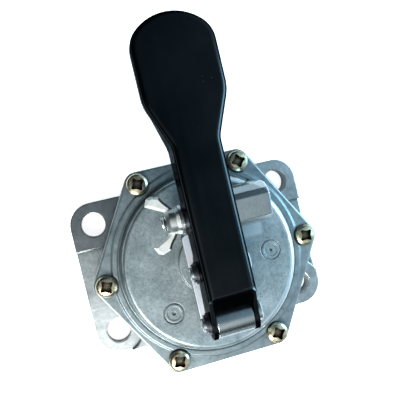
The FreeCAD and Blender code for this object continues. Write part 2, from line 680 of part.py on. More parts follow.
for number in range(6):
    turned_by = Rotation(Vector(0, 0, 1), 60 * number)
    place = turned_by.multVec(Vector(screw_circle_r.value, 0, flange_z.value))
    spin = Rotation(Vector(0, 0, 1), SCREW_SPINS[number])
    copy = screw.Shape.copy()
    copy.Placement = Placement(place, spin)
    copies.append(copy)
screws = doc.addObject("Part::Feature", "cover_screws")
screws.Label = "cover_screws"
screws.Shape = Part.makeCompound(copies)
kept.append(screws)

# Diaphragm and its two plates
turned("diaphragm", [(d.tail_r + d.pin_play, dish_bottom), (clamp_r, dish_bottom),
                     (clamp_r + 1.5, dish_bottom + 0.4), (d.chamber_r - 1.2, seat_z - 0.4),
                     (d.chamber_r - 0.3, seat_z), (bead_r, seat_z), (bead_r, d.split_z),
                     (d.chamber_r - 0.8, d.split_z), (d.chamber_r - 2.4, d.split_z - 0.6),
                     (clamp_r + 0.6, dish_top + 0.2), (clamp_r - 0.6, dish_top), (d.tail_r + d.pin_play, dish_top)])
upper_top = dish_top + d.upper_plate_t
lower_bottom = dish_bottom - d.lower_plate_t
turned("upper_diaphragm_plate", [(d.tail_r + d.pin_play, dish_top), (clamp_r - 1.6, dish_top),
                                 (clamp_r - 0.2, dish_top + d.plate_lip), (clamp_r - 0.2, upper_top),
                                 (clamp_r - 1.8, upper_top), (d.tail_r + d.pin_play, upper_top)])
turned("lower_diaphragm_plate", [(d.tail_r + d.pin_play, lower_bottom), (clamp_r - 1.8, lower_bottom),
                                 (clamp_r - 0.6, lower_bottom + 0.7), (clamp_r - 0.6, dish_bottom),
                                 (d.tail_r + d.pin_play, dish_bottom)])

# Pull rod: threaded tail, shaft and slotted eye
rod = body("pull_rod")
tail_end = lower_bottom - d.nut_h - d.tail_over
drawn = sketch(rod, "XZ_Plane")
polygon(drawn, [(0, tail_end), (d.tail_r - 0.5, tail_end), (d.tail_r, tail_end + 0.5), (d.tail_r, upper_top),
                (d.rod_r, upper_top), (d.rod_r, eye_bottom + 0.5), (0, eye_bottom + 0.5)])
turn(rod, drawn, "V_Axis")
drawn = sketch(rod, "YZ_Plane", -d.eye_w / 2)
polygon(drawn, box_points(-d.eye_len / 2, d.eye_len / 2, eye_bottom, eye_bottom + d.eye_h))
pad(rod, drawn, d.eye_w)
round_edges(rod, lambda edge: abs(edge.BoundBox.XLength - d.eye_w.value) < 1e-4
            and edge.BoundBox.ZLength < 1e-6, 4.0)
drawn = sketch(rod, "YZ_Plane", d.eye_w / 2 + 1)
slot_r = d.pin_r + d.slot_play
polygon(drawn, [(-d.slot_run, pin_axis_z - slot_r), (d.slot_run, pin_axis_z - slot_r),
                (d.slot_run, pin_axis_z + slot_r), (-d.slot_run, pin_axis_z + slot_r)],
        {1: (d.slot_run + slot_r, pin_axis_z, "X", d.slot_run), 3: (-d.slot_run - slot_r, pin_axis_z, "X", -d.slot_run)})
pocket(rod, drawn, d.eye_w + 2)

nut = body("rod_nut")
drawn = sketch(nut, "XY_Plane", lower_bottom)
hexagon(drawn, d.nut_af / 2)
circle(drawn, 0, 0, d.tail_r + d.pin_play)
pad(nut, drawn, d.nut_h, reverse=True)

cap_bottom = eye_bottom - d.cap_t
turned("spring_cap", [(d.rod_r + d.pin_play, cap_bottom), (cap_r, cap_bottom),
                      (cap_r, eye_bottom), (d.rod_r + d.pin_play, eye_bottom)])
coil("return_spring", d.coil_r, d.coil_wire, d.coil_turns, cap_bottom - well_z, 0, well_z)
bush_bottom = bush_top - d.bush_len
turned("rod_bush", [(d.rod_r + d.rod_run, bush_bottom), (d.bush_r - d.valve_play, bush_bottom),
                    (d.bush_r - d.valve_play, bush_top), (d.rod_r + d.rod_run, bush_top)])
ring("rod_seal", (d.bush_r + d.rod_r) / 2, d.seal_wire, 0, seal_top - d.seal_wire / 2 - 0.05)

# Lever: a pressed channel that widens to a paddle
lever = body("lever")
half_paddle = d.paddle_w / 2
shoulder_y = d.neck_y + d.flare_len
paddle_bow = half_paddle * d.bow_share
bow_y = d.paddle_end - paddle_bow
bow_r = (half_paddle * half_paddle + paddle_bow * paddle_bow) / (paddle_bow * 2)
drawn = sketch(lever, "XY_Plane", web_top)
polygon(drawn, [(half_lever, -d.web_end), (half_lever, d.neck_y), (half_paddle, shoulder_y), (half_paddle, bow_y),
                (-half_paddle, bow_y), (-half_paddle, shoulder_y), (-half_lever, d.neck_y),
                (-half_lever, -d.web_end)],
        {3: (0, d.paddle_end, "Y", d.paddle_end - bow_r)})
pad(lever, drawn, d.wall_h, reverse=True)


def lever_corner(y, x):
    return lambda edge: (upright(edge, wall_bottom.value, web_top.value)
                         and abs(edge.BoundBox.YMin - y.value) < 1e-3
                         and abs(abs(edge.BoundBox.XMin) - x.value) < 1e-3)


round_edges(lever, lever_corner(d.neck_y, half_lever), d.neck_r)
round_edges(lever, lever_corner(shoulder_y, half_paddle), d.shoulder_r)
round_edges(lever, lever_corner(bow_y, half_paddle), half_paddle * d.tip_share)
# the walls run out towards the paddle, whose rim is shallow
drawn = sketch(lever, "YZ_Plane", half_paddle + 1)
polygon(drawn, [(d.neck_y + d.slope_from, wall_bottom - 1), (d.neck_y + d.slope_from, wall_bottom),
                (d.neck_y + d.slope_to, web_top - d.paddle_rim),
                (d.paddle_end + 1, web_top - d.paddle_rim), (d.paddle_end + 1, wall_bottom - 1)])
pocket(lever, drawn, d.paddle_w + 2)
doc.recompute()
stamping = lever.Tip
under = []
for number, face in enumerate(stamping.Shape.Faces, start=1):
    if face.Surface.TypeId == "Part::GeomPlane" and face.normalAt(0, 0).z < -0.3:
        under.append("Face%d" % number)
shell = lever.newObject("PartDesign::Thickness", "lever_shell")
shell.Base = (stamping, under)
shell.setExpression("Value", d.lever_t.text)
shell.Value = d.lever_t.value
shell.Reversed = True
shell.Join = 0
round_edges(lever, lambda edge: level(edge, web_top.value), d.edge_r)
round_edges(lever, lambda edge: level(edge, (web_top - d.lever_t).value), d.edge_r - d.lever_t)
# end wall cut back to a turned-down lip
drawn = sketch(lever, "XY_Plane", wall_bottom - 1)
polygon(drawn, box_points(-inner_half, inner_half, -d.web_end - 1, -d.web_end + d.lever_t + 1))
pocket(lever, drawn, d.wall_h - d.lip_h + 1, reverse=True)
drawn = sketch(lever, "YZ_Plane", -inner_half - 0.2)
polygon(drawn, [(2.0 - d.web_end, web_top - 0.1), (-d.web_end - d.tongue_out, web_top - d.tongue_drop),
                (0.9 - d.web_end - d.tongue_out, web_top - d.tongue_drop - d.lever_t * 0.8),
                (2.0 - d.web_end, web_top - 0.2 - d.lever_t)])
pad(lever, drawn, inner_half * 2 + 0.4)
# ears at the pivot, lobes at the rod pin, tabs at the lock stud: one on each wall
ear_top = (-d.pivot_y + 1.0, pin_axis_z + d.ear_out - 0.1)
for start in (-half_lever, inner_half):
    drawn = sketch(lever, "YZ_Plane", start)
    circle(drawn, -d.pivot_y, pin_axis_z, d.ear_out)
    pad(lever, drawn, d.lever_t)
    drawn = sketch(lever, "YZ_Plane", start)
    polygon(drawn, [(-d.pivot_y + 1, pin_axis_z - d.ear_out + 0.1), (-d.web_end + 4, wall_bottom - 1.5),
                    (-d.web_end + 4, web_top - d.edge_r - 1), (-d.web_end + 0.3, web_top - d.edge_r - 1), ear_top])
    pad(lever, drawn, d.lever_t)
    drawn = sketch(lever, "YZ_Plane", start)
    circle(drawn, 0, pin_axis_z, d.ear_out)
    pad(lever, drawn, d.lever_t)
    drawn = sketch(lever, "YZ_Plane", start)
    polygon(drawn, box_points(d.lock_y - d.tab_w / 2, d.lock_y + d.tab_w / 2, lock_axis_z - d.tab_drop,
                              wall_bottom + 2))
    pad(lever, drawn, d.lever_t)
drawn = sketch(lever, "YZ_Plane", half_lever + 1)
circle(drawn, d.lock_y, lock_axis_z, d.gate_w / 2)
pocket(lever, drawn, lever_w + 2)
drawn = sketch(lever, "YZ_Plane", half_lever + 1)
polygon(drawn, [(d.lock_y - d.gate_w / 2, lock_axis_z), (d.lock_y + d.gate_w / 2, lock_axis_z),
                (d.lock_y + d.gate_w / 2 + d.gate_flare, lock_axis_z - d.tab_drop - 1),
                (d.lock_y - d.gate_w / 2 - d.gate_flare, lock_axis_z - d.tab_drop - 1)])
pocket(lever, drawn, lever_w + 2)
drawn = sketch(lever, "YZ_Plane", half_lever + 1)
circle(drawn, -d.pivot_y, pin_axis_z, d.pin_r + d.pin_play)
circle(drawn, 0, pin_axis_z, d.pin_r + d.pin_play)
pocket(lever, drawn, lever_w + 2)

# Pins with a head on the right, and a washer and clip on the left
head_start = half_lever + d.side_play
washer_start = half_lever + d.side_play
clip_start = washer_start + d.washer_t + d.side_play
pin_end = clip_start + d.clip_t + d.pin_tip
groove_r = d.pin_r - d.groove_d
for name, y in (("pivot", -d.pivot_y), ("rod", 0)):
    turned(name + "_pin", [(-pin_end, 0), (-pin_end, d.pin_r - 0.4), (0.4 - pin_end, d.pin_r),
                           (-clip_start - d.clip_t - 0.05, d.pin_r), (-clip_start - d.clip_t - 0.05, groove_r),
                           (0.05 - clip_start, groove_r), (0.05 - clip_start, d.pin_r), (head_start, d.pin_r),
                           (head_start, d.pin_head_r), (head_start + d.pin_head_t - 0.5, d.pin_head_r),
                           (head_start + d.pin_head_t, d.pin_head_r - 0.5), (head_start + d.pin_head_t, 0)],
           "X", (0, y, pin_axis_z))
    turned(name + "_pin_washer", [(-washer_start - d.washer_t, d.pin_r + d.side_play),
                                  (-washer_start - d.washer_t, d.washer_r), (-washer_start, d.washer_r),
                                  (-washer_start, d.pin_r + d.side_play)], "X", (0, y, pin_axis_z))
    clip = turned(name + "_pin_clip", [(-clip_start - d.clip_t, groove_r + d.pin_play),
                                       (-clip_start - d.clip_t, d.clip_r), (-clip_start, d.clip_r),
                                       (-clip_start, groove_r + d.pin_play)], "X", (0, y, pin_axis_z))
    drawn = sketch(clip, "YZ_Plane", 0)
    polygon(drawn, box_points(-groove_r, groove_r, -d.clip_r - 1, 0))
    pocket(clip, drawn, clip_start + d.clip_t + 1)

# Lock: stud, washer and wing nut left of the lever
turned("lock_stud", [(-d.stud_end, 0), (-d.stud_end, d.stud_r - 0.6), (0.6 - d.stud_end, d.stud_r),
                     (boss_start + d.stud_grip - 0.6, d.stud_r), (boss_start + d.stud_grip, d.stud_r - 0.6),
                     (boss_start + d.stud_grip, 0)], "X", (0, d.lock_y, lock_axis_z))
stud_hole_r = d.stud_r + d.thread_play
lock_washer_x = half_lever + d.side_play
turned("lock_washer", [(-lock_washer_x - d.lock_washer_t, stud_hole_r + 0.1),
                       (-lock_washer_x - d.lock_washer_t, d.lock_washer_r), (-lock_washer_x, d.lock_washer_r),
                       (-lock_washer_x, stud_hole_r + 0.1)], "X", (0, d.lock_y, lock_axis_z))
nut_x = lock_washer_x + d.lock_washer_t + d.side_play
wing = body("wing_nut")
drawn = sketch(wing, "XY_Plane")
polygon(drawn, [(-nut_x - d.nut_hub_len, 0), (-nut_x - d.nut_hub_len, d.nut_hub_r - 1.0),
                (1.4 - nut_x - d.nut_hub_len, d.nut_hub_r), (-nut_x - 1.6, d.nut_hub_r),
                (-nut_x - 0.8, d.nut_hub_r + 0.5), (-nut_x, d.nut_hub_r + 0.5), (-nut_x, 0)])
turn(wing, drawn, "H_Axis")
half_span = d.wing_span / 2
tip_x = -nut_x - d.wing_reach
drawn = sketch(wing, "XY_Plane")
for side in (1, -1):
    polygon(drawn, [(-nut_x - 1.6, (d.nut_hub_r - 1.5) * side), (-nut_x - 2.0, (d.nut_hub_r + 0.6) * side),
                    (-nut_x - 4.4, (half_span - 3.0) * side), (-nut_x - 5.6, (half_span - 1.0) * side),
                    (tip_x + 3.2, half_span * side), (tip_x + 1.4, (half_span - 0.6) * side),
                    (tip_x, (half_span - 3.4) * side), (-nut_x - d.wing_root, (d.nut_hub_r - 0.3) * side),
                    (1.0 - nut_x - d.wing_root, (d.nut_hub_r - 1.5) * side)])
for downward in (False, True):
    half = pad(wing, drawn, d.wing_t / 2, reverse=downward)
    half.setExpression("TaperAngle", (-d.wing_bevel).text)
drawn = sketch(wing, "YZ_Plane", -nut_x + 1)
circle(drawn, 0, 0, stud_hole_r)
pocket(wing, drawn, d.nut_hub_len + 3, reverse=False)
put(wing, 0, d.lock_y, lock_axis_z)

# Check valves: the outlet's is the inlet's turned over
pocket_depth = d.chamber_floor - d.port_len
lift_room = pocket_depth - d.valve_seat_t - d.flap_t - d.retainer_t
for name, x, low, way in (("inlet", -d.valve_x, d.port_len, 1), ("outlet", d.valve_x, d.chamber_floor, -1)):
    ring_r = d.valve_r - d.valve_play
    seat_top = low + d.valve_seat_t * way
    flap_top = seat_top + d.flap_t * way
    cage_low = flap_top + lift_room * way
    cage_top = cage_low + d.retainer_t * way
    turned(name + "_valve_seat", [(d.valve_seat_r, low), (ring_r, low), (ring_r, seat_top),
                                  (d.valve_seat_r, seat_top)], "Z", (x, 0, 0))
    turned(name + "_valve_disc", [(0, seat_top), (d.flap_r, seat_top), (d.flap_r, flap_top), (d.stem_r, flap_top),
                                  (d.stem_r, cage_top - d.stem_short * way),
                                  (0, cage_top - d.stem_short * way)], "Z", (x, 0, 0))
    cage = turned(name + "_valve_retainer", [(d.stem_r + d.stem_run, cage_low), (ring_r, cage_low),
                                             (ring_r, cage_top), (d.stem_r + d.stem_run, cage_top)], "Z", (x, 0, 0))
    drawn = sketch(cage, "XY_Plane", cage_low - way * 0.5)
    circle(drawn, d.window_circle_r, 0, d.window_r)
    window = pocket(cage, drawn, d.retainer_t + 1, reverse=(way > 0))
    around(cage, [window], 6)
    bottom = flap_top if way > 0 else cage_low
    coil(name + "_valve_spring", d.valve_coil_r, d.valve_wire, d.valve_turns, lift_room, x, bottom)

# Port rings in the mounting face, flush as when the pump is bolted down
for name, x in (("inlet", -d.valve_x), ("outlet", d.valve_x)):
    ring(name + "_port_ring", d.ring_r, d.ring_wire, x, d.ring_wire / 2)

doc.recompute()
problems = []
for item in doc.Objects:
    if "Invalid" in item.State or "Error" in item.State:
        problems.append(item.Name)
for piece in kept:
    shape = piece.Shape
    if shape.isNull() or not shape.isValid() or not shape.Solids:
        problems.append(piece.Label + " has no sound solid")
if problems:
    raise RuntimeError("failed: " + ", ".join(problems))
os.makedirs("parts", exist_ok=True)
for piece in kept:
    piece.Shape.exportStep("parts/%s.step" % piece.Label)
    print(piece.Label, len(piece.Shape.Solids), round(piece.Shape.Volume, 1))
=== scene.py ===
import math
import bpy
from mathutils import Matrix, Vector

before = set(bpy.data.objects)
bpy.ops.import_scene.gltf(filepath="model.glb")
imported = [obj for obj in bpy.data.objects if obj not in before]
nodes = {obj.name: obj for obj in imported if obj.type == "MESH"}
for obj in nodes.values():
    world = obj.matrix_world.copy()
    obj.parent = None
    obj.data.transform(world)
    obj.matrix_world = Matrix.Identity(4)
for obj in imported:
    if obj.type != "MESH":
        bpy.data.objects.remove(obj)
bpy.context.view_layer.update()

MM = 0.001
WHITE = (1.0, 1.0, 1.0)
BLACK = (0.0, 0.0, 0.0)


# Shader nodes
def new_material(name):
    """A new material with its node tree and its shader."""
    made = bpy.data.materials.new(name)
    made.use_nodes = True
    tree = made.node_tree
    shader = tree.nodes["Principled BSDF"]
    return made, tree, shader


def add(tree, kind, **settings):
    """A new shader node with the given settings."""
    node = tree.nodes.new(kind)
    for key, value in settings.items():
        setattr(node, key, value)
    return node


def link(tree, source, target):
    """Joins an output to an input."""
    tree.links.new(source, target)


def fill(tree, target, value):
    """Gives an input another node's output, a colour or a number."""
    if isinstance(value, bpy.types.NodeSocket):
        link(tree, value, target)
    elif isinstance(value, tuple):
        target.default_value = (*value, 1.0)
    else:
        target.default_value = value


def calculate(tree, operation, first, second):
    """A math node on two numbers; both may be sockets."""
    made = add(tree, "ShaderNodeMath", operation=operation)
    fill(tree, made.inputs[0], first)
    fill(tree, made.inputs[1], second)
    return made.outputs[0]


def spread(tree, source, low, high, from_low=0.3, from_high=0.7):
    """Stretches the range from_low to from_high to low to high, and holds its ends."""
    made = add(tree, "ShaderNodeMapRange")
    made.inputs["From Min"].default_value = from_low
    made.inputs["From Max"].default_value = from_high
    made.inputs["To Min"].default_value = low
    made.inputs["To Max"].default_value = high
    link(tree, source, made.inputs["Value"])
    return made.outputs["Result"]


def between(tree, share, low, high):
    """A number that goes from low to high with share; all may be sockets."""
    made = add(tree, "ShaderNodeMix", data_type="FLOAT")
    fill(tree, made.inputs[0], share)
    fill(tree, made.inputs[2], low)
    fill(tree, made.inputs[3], high)
    return made.outputs[0]


def mix(tree, share, first, second, kind="MIX"):
    """A colour that goes from first to second with share; all may be sockets."""
    made = add(tree, "ShaderNodeMix", data_type="RGBA", blend_type=kind)
    fill(tree, made.inputs[0], share)
    fill(tree, made.inputs[6], first)
    fill(tree, made.inputs[7], second)
    return made.outputs[2]


def ramp(tree, source, stops):
    """A colour ramp; stops are (place, colour)."""
    made = add(tree, "ShaderNodeValToRGB")
    band = made.color_ramp
    while len(band.elements) < len(stops):
        band.elements.new(0.5)
    for element, (place, colour) in zip(band.elements, stops):
        element.position = place
        element.color = (*colour, 1.0)
    link(tree, source, made.inputs["Fac"])
    return made.outputs["Color"]


def scaled(colour, share):
    """A colour times a number."""
    return tuple(share * part for part in colour)


# Patterns in object space; a scale is in features per metre
def object_place(tree):
    return add(tree, "ShaderNodeTexCoord").outputs["Object"]


def noise(tree, scale, detail=3.0, rough=0.55, stretch=(1, 1, 1)):
    """Cloudy noise."""
    mapping = add(tree, "ShaderNodeMapping")
    mapping.inputs["Scale"].default_value = stretch
    made = add(tree, "ShaderNodeTexNoise")
    made.inputs["Scale"].default_value = scale
    made.inputs["Detail"].default_value = detail
    made.inputs["Roughness"].default_value = rough
    link(tree, object_place(tree), mapping.inputs["Vector"])
    link(tree, mapping.outputs["Vector"], made.inputs["Vector"])
    return made.outputs["Fac"]


def spots(tree, scale, core, rim):
    """1 within the core of scattered spots, 0 beyond their rim."""
    made = add(tree, "ShaderNodeTexVoronoi")
    made.inputs["Scale"].default_value = scale
    link(tree, object_place(tree), made.inputs["Vector"])
    return spread(tree, made.outputs["Distance"], 1.0, 0.0, core, rim)


# Masks; their lengths are in mm
def within(tree, limits, soft):
    """1 inside a box and 0 past its soft edge; limits are (axis, low, high)."""
    split = add(tree, "ShaderNodeSeparateXYZ")
    link(tree, object_place(tree), split.inputs["Vector"])
    share = None
    for axis, low, high in limits:
        for start, stop in ((low - soft, low), (high + soft, high)):
            side = spread(tree, split.outputs[axis], 0.0, 1.0, start * MM, stop * MM)
            share = side if share is None else calculate(tree, "MULTIPLY", share, side)
    return share


def beyond(tree, start, stop):
    """0 nearer the Z axis than start, 1 farther than stop."""
    flat = add(tree, "ShaderNodeVectorMath", operation="MULTIPLY")
    flat.inputs[1].default_value = (1.0, 1.0, 0.0)
    link(tree, object_place(tree), flat.inputs[0])
    reach = add(tree, "ShaderNodeVectorMath", operation="LENGTH")
    link(tree, flat.outputs["Vector"], reach.inputs[0])
    return spread(tree, reach.outputs["Value"], 0.0, 1.0, start * MM, stop * MM)


def ring(tree, inner, outer, soft):
    """1 between two radii around the Z axis, 0 past their soft edges."""
    return between(tree, beyond(tree, outer, outer + soft), beyond(tree, inner - soft, inner), 0.0)


def edge_nearness(tree, radius, hard=0.75, plain=0.97, samples=6):
    """1 near sharp edges, 0 on flat stretches; hard and plain are cosines of the turn."""
    bevel = add(tree, "ShaderNodeBevel", samples=samples)
    bevel.inputs["Radius"].default_value = radius * MM
    geometry = add(tree, "ShaderNodeNewGeometry")
    dot = add(tree, "ShaderNodeVectorMath", operation="DOT_PRODUCT")
    link(tree, bevel.outputs["Normal"], dot.inputs[0])
    link(tree, geometry.outputs["Normal"], dot.inputs[1])
    return spread(tree, dot.outputs["Value"], 1.0, 0.0, hard, plain)


def crevices(tree, reach, low, high):
    """0 in grooves and corners, 1 in the open; low and high are shares of open sky."""
    made = add(tree, "ShaderNodeAmbientOcclusion", samples=6)
    made.inputs["Distance"].default_value = reach * MM
    return spread(tree, made.outputs["AO"], 0.0, 1.0, low, high)


# Shading normals; their lengths are in mm
def rounded(tree, radius):
    """The normal with sharp edges eased by a radius."""
    made = add(tree, "ShaderNodeBevel", samples=6)
    made.inputs["Radius"].default_value = radius * MM
    return made.outputs["Normal"]


def bump(tree, shader, heights, below=None):
    """Stacks bumps on a normal; heights are (source, distance, strength)."""
    for source, distance, strength in heights:
        made = add(tree, "ShaderNodeBump")
        made.inputs["Distance"].default_value = distance * MM
        made.inputs["Strength"].default_value = strength
        link(tree, source, made.inputs["Height"])
        if below is not None:
            link(tree, below, made.inputs["Normal"])
        below = made.outputs["Normal"]
    link(tree, below, shader.inputs["Normal"])


# Cast alloy
CLOUD_SCALE = 110
PATCH_SCALE = 420
SPECK_SCALE = 1300
GRAIN_SCALE = 900
PIT_SCALE = 620
PIT_FIELD_SCALE = 130
LEVEL_GRAIN = 0.5
GRAIN_FADE = 1.5
GREY_PATCH = (0.80, 0.80, 0.80)
GREY_SPECK = (0.70, 0.71, 0.72)
# painted shade: multiplied into corners and large hollows, where less open sky reaches
CORNER_PAINTED_SHADE = (0.35, 0.35, 0.336)
HOLLOW_PAINTED_SHADE = (0.22, 0.21, 0.19)
TURNED_SHEEN = (0.50, 0.56, 0.58)
TURNED_ROUGHNESS = 0.24
TURNED_FADE = 0.3
# painted highlight: colour of a bright ring on the right side of the disc's rim
BAND_PAINTED_HIGHLIGHT = (0.66, 0.73, 0.75)
BAND_ROUGHNESS = 0.30
BAND_FADE = 0.6
BAND_LIT_SIDE = (("X", 16, 60),)
BAND_LIT_SIDE_FADE = 12.0


def cast_colour(tree, dark, light, edge, cloud, patch, speck, smooth):
    """Mottled skin with pits, an edge tint that is partly wear and partly painted edge light, and
    painted shade in corners; specks and pits fade as smooth goes to 1.
    """
    skin = ramp(tree, cloud, [(0.30, dark), (0.70, light)])
    skin = mix(tree, 1.0, skin, ramp(tree, patch, [(0.32, GREY_PATCH), (0.68, WHITE)]), "MULTIPLY")
    fine = ramp(tree, speck, [(0.30, GREY_SPECK), (0.66, WHITE)])
    skin = mix(tree, between(tree, smooth, 1.0, 0.3), skin, fine, "MULTIPLY")
    fields = spread(tree, noise(tree, PIT_FIELD_SCALE, detail=2.0), 0.0, 1.0, 0.50, 0.62)
    pits = calculate(tree, "MULTIPLY", spots(tree, PIT_SCALE, 0.14, 0.24), fields)
    skin = mix(tree, between(tree, smooth, pits, 0.0), skin, scaled(dark, 0.55))
    # tint near sharp edges: partly wear, partly painted edge light (paler on the cover, darker on the
    # housing)
    worn_and_lit_edges = mix(tree, edge_nearness(tree, 0.45), skin, edge)
    # painted shade in grooves and corners, where less open sky reaches
    shaded = mix(tree, 1.0, worn_and_lit_edges, CORNER_PAINTED_SHADE, "MULTIPLY")
    return mix(tree, crevices(tree, 1.8, 0.2, 0.85), shaded, worn_and_lit_edges)


def cast_metal(name, dark, light, edge, fineness=1.0, grainy_to=None, sleek_rough=(0.27, 0.36),
               sleek_metal=0.78, easing=0.6, turned=(), band=None, hollow_shade_reach=None, painted_patches=()):
    """Die-cast alloy, grainy up to a radius and sleek outside it.

    turned boxes are cut bright, band holds the two radii of a ring of painted highlight on the right
    side, the hollow-shade argument is the reach of painted shade in large hollows, and the patch boxes
    are (limits, soft edge, share, tint) of painted highlight and painted shade.
    """
    made, tree, shader = new_material(name)
    cloud = noise(tree, CLOUD_SCALE * fineness, detail=4.0, rough=0.6)
    patch = noise(tree, PATCH_SCALE * fineness, detail=3.0, rough=0.65)
    speck = noise(tree, SPECK_SCALE * fineness, detail=2.0, rough=0.7)
    grain = noise(tree, GRAIN_SCALE * fineness, detail=3.0, rough=0.6)
    smooth = 1.0
    if grainy_to is not None:
        smooth = beyond(tree, grainy_to, grainy_to + GRAIN_FADE)
    colour = cast_colour(tree, dark, light, edge, cloud, patch, speck, smooth)
    rough = between(tree, smooth, spread(tree, speck, 0.38, 0.58), spread(tree, patch, *sleek_rough))
    metal = between(tree, smooth, 0.6, sleek_metal)
    grain = between(tree, smooth, grain, between(tree, 0.8, grain, LEVEL_GRAIN))
    for limits in turned:
        cut = within(tree, limits, TURNED_FADE)
        rough = between(tree, cut, rough, TURNED_ROUGHNESS)
        metal = between(tree, cut, metal, 1.0)
        grain = between(tree, cut, grain, LEVEL_GRAIN)
        colour = mix(tree, cut, colour, mix(tree, 0.5, colour, TURNED_SHEEN))
    # painted highlight: the ring is bright on the right side only
    if band is not None:
        side = within(tree, BAND_LIT_SIDE, BAND_LIT_SIDE_FADE)
        rim = between(tree, side, 0.0, ring(tree, band[0], band[1], BAND_FADE))
        rough = between(tree, rim, rough, BAND_ROUGHNESS)
        metal = between(tree, rim, metal, 1.0)
        colour = mix(tree, rim, colour, BAND_PAINTED_HIGHLIGHT)
    # painted shade in large hollows, darker where less open sky reaches
    if hollow_shade_reach is not None:
        shaded = mix(tree, 1.0, colour, HOLLOW_PAINTED_SHADE, "MULTIPLY")
        colour = mix(tree, crevices(tree, hollow_shade_reach, 0.45, 0.75), shaded, colour)
    # painted highlight and painted shade patches, each a box with its soft edge, share and tint
    for limits, soft, share, tint in painted_patches:
        colour = mix(tree, between(tree, within(tree, limits, soft), 0.0, share), colour, tint)
    link(tree, colour, shader.inputs["Base Color"])
    link(tree, rough, shader.inputs["Roughness"])
    link(tree, metal, shader.inputs["Metallic"])
    heights = [(grain, 0.10, 0.45), (patch, 0.12, 0.3), (cloud, 0.25, 0.2)]
    bump(tree, shader, heights, rounded(tree, easing))
    return made


# Plated steel
PLATING_DRIFT_SCALE = 260
PLATING_GRAIN_SCALE = 900
FIRST_TONE = 0.28
LAST_TONE = 0.72


def plated(name, tones, rough, recess_shade=None):
    """Plated or ground steel whose colour drifts through two or more tones; the optional recess colour
    paints shade into its recesses.
    """
    made, tree, shader = new_material(name)
    step = (LAST_TONE - FIRST_TONE) / (len(tones) - 1)
    stops = [(FIRST_TONE + step * number, tone) for number, tone in enumerate(tones)]
    colour = ramp(tree, noise(tree, PLATING_DRIFT_SCALE, detail=3.0, rough=0.6), stops)
    if recess_shade is not None:
        # painted shade: darker where less open sky reaches, in recesses
        colour = mix(tree, crevices(tree, 2.6, 0.72, 0.97), recess_shade, colour)
    fine = noise(tree, PLATING_GRAIN_SCALE, detail=3.0, rough=0.6)
    link(tree, colour, shader.inputs["Base Color"])
    link(tree, spread(tree, fine, *rough), shader.inputs["Roughness"])
    shader.inputs["Metallic"].default_value = 1.0
    bump(tree, shader, [(fine, 0.04, 0.12)])
    return made


def threaded(name, tones, rough, pitch, axis):
    """Plated steel with a rolled thread along one axis; pitch is in mm."""
    made = plated(name, tones, rough)
    tree = made.node_tree
    shader = tree.nodes["Principled BSDF"]
    wave = add(tree, "ShaderNodeTexWave", wave_type="BANDS", bands_direction=axis, wave_profile="TRI")
    # a band repeats every pi / (10 * scale) metres
    wave.inputs["Scale"].default_value = math.pi / (10 * pitch * MM)
    wave.inputs["Distortion"].default_value = 0.0
    link(tree, object_place(tree), wave.inputs["Vector"])
    bump(tree, shader, [(wave.outputs["Fac"], 0.5, 0.9)])
    return made


# Tumbled zinc of the wing nut
WING_HUB = (("Y", 17.0, 24.0), ("Z", 47.0, 55.5))
WING_HUB_FADE = 0.6
WING_HUB_TONE = (0.20, 0.23, 0.23)


def wing_metal(name, pale, bright, shaded_rear):
    """Matt zinc with a sleeker, darker hub, and a rear painted near-black as painted shade where it
    faces +X.
    """
    made, tree, shader = new_material(name)
    split = add(tree, "ShaderNodeSeparateXYZ")
    link(tree, add(tree, "ShaderNodeTexCoord").outputs["Normal"], split.inputs["Vector"])
    # painted shade: faces turned towards +X take the near-black rear colour
    shaded_side = spread(tree, split.outputs["X"], 0.0, 1.0, 0.25, 0.5)
    drift = noise(tree, 300, detail=3.0, rough=0.6)
    hub = within(tree, WING_HUB, WING_HUB_FADE)
    face = mix(tree, hub, ramp(tree, drift, [(0.3, pale), (0.7, bright)]), WING_HUB_TONE)
    link(tree, mix(tree, shaded_side, face, shaded_rear), shader.inputs["Base Color"])
    matt = spread(tree, noise(tree, 900), 0.42, 0.6)
    link(tree, between(tree, hub, matt, 0.3), shader.inputs["Roughness"])
    link(tree, between(tree, hub, 0.3, 0.8), shader.inputs["Metallic"])
    bump(tree, shader, [(drift, 0.15, 0.3)])
    return made


# Black enamel of the lever
PAINT_DARK = (0.015, 0.019, 0.021)
PAINT_LIGHT = (0.024, 0.028, 0.030)
PAINT_GLANCING = (0.10, 0.10, 0.11)
DUST = (0.30, 0.32, 0.34)
END_EDGE = (0.035, 0.042, 0.050)
# painted highlight: pale lines on the edges along the walls
WALL_EDGE_HIGHLIGHT = (0.42, 0.50, 0.52)
# painted highlight: a wide pale strip on the right edge only
RIGHT_EDGE_HIGHLIGHT = (0.82, 0.93, 0.95)
RIGHT_EDGE_ROUGHNESS = 0.42
WALL_STRETCH = (("Y", -9, 44),)
RIGHT_EDGE_STRETCH = (("X", 5, 30), ("Y", -8, 42), ("Z", 55, 80))
STRETCH_FADE = 2.0


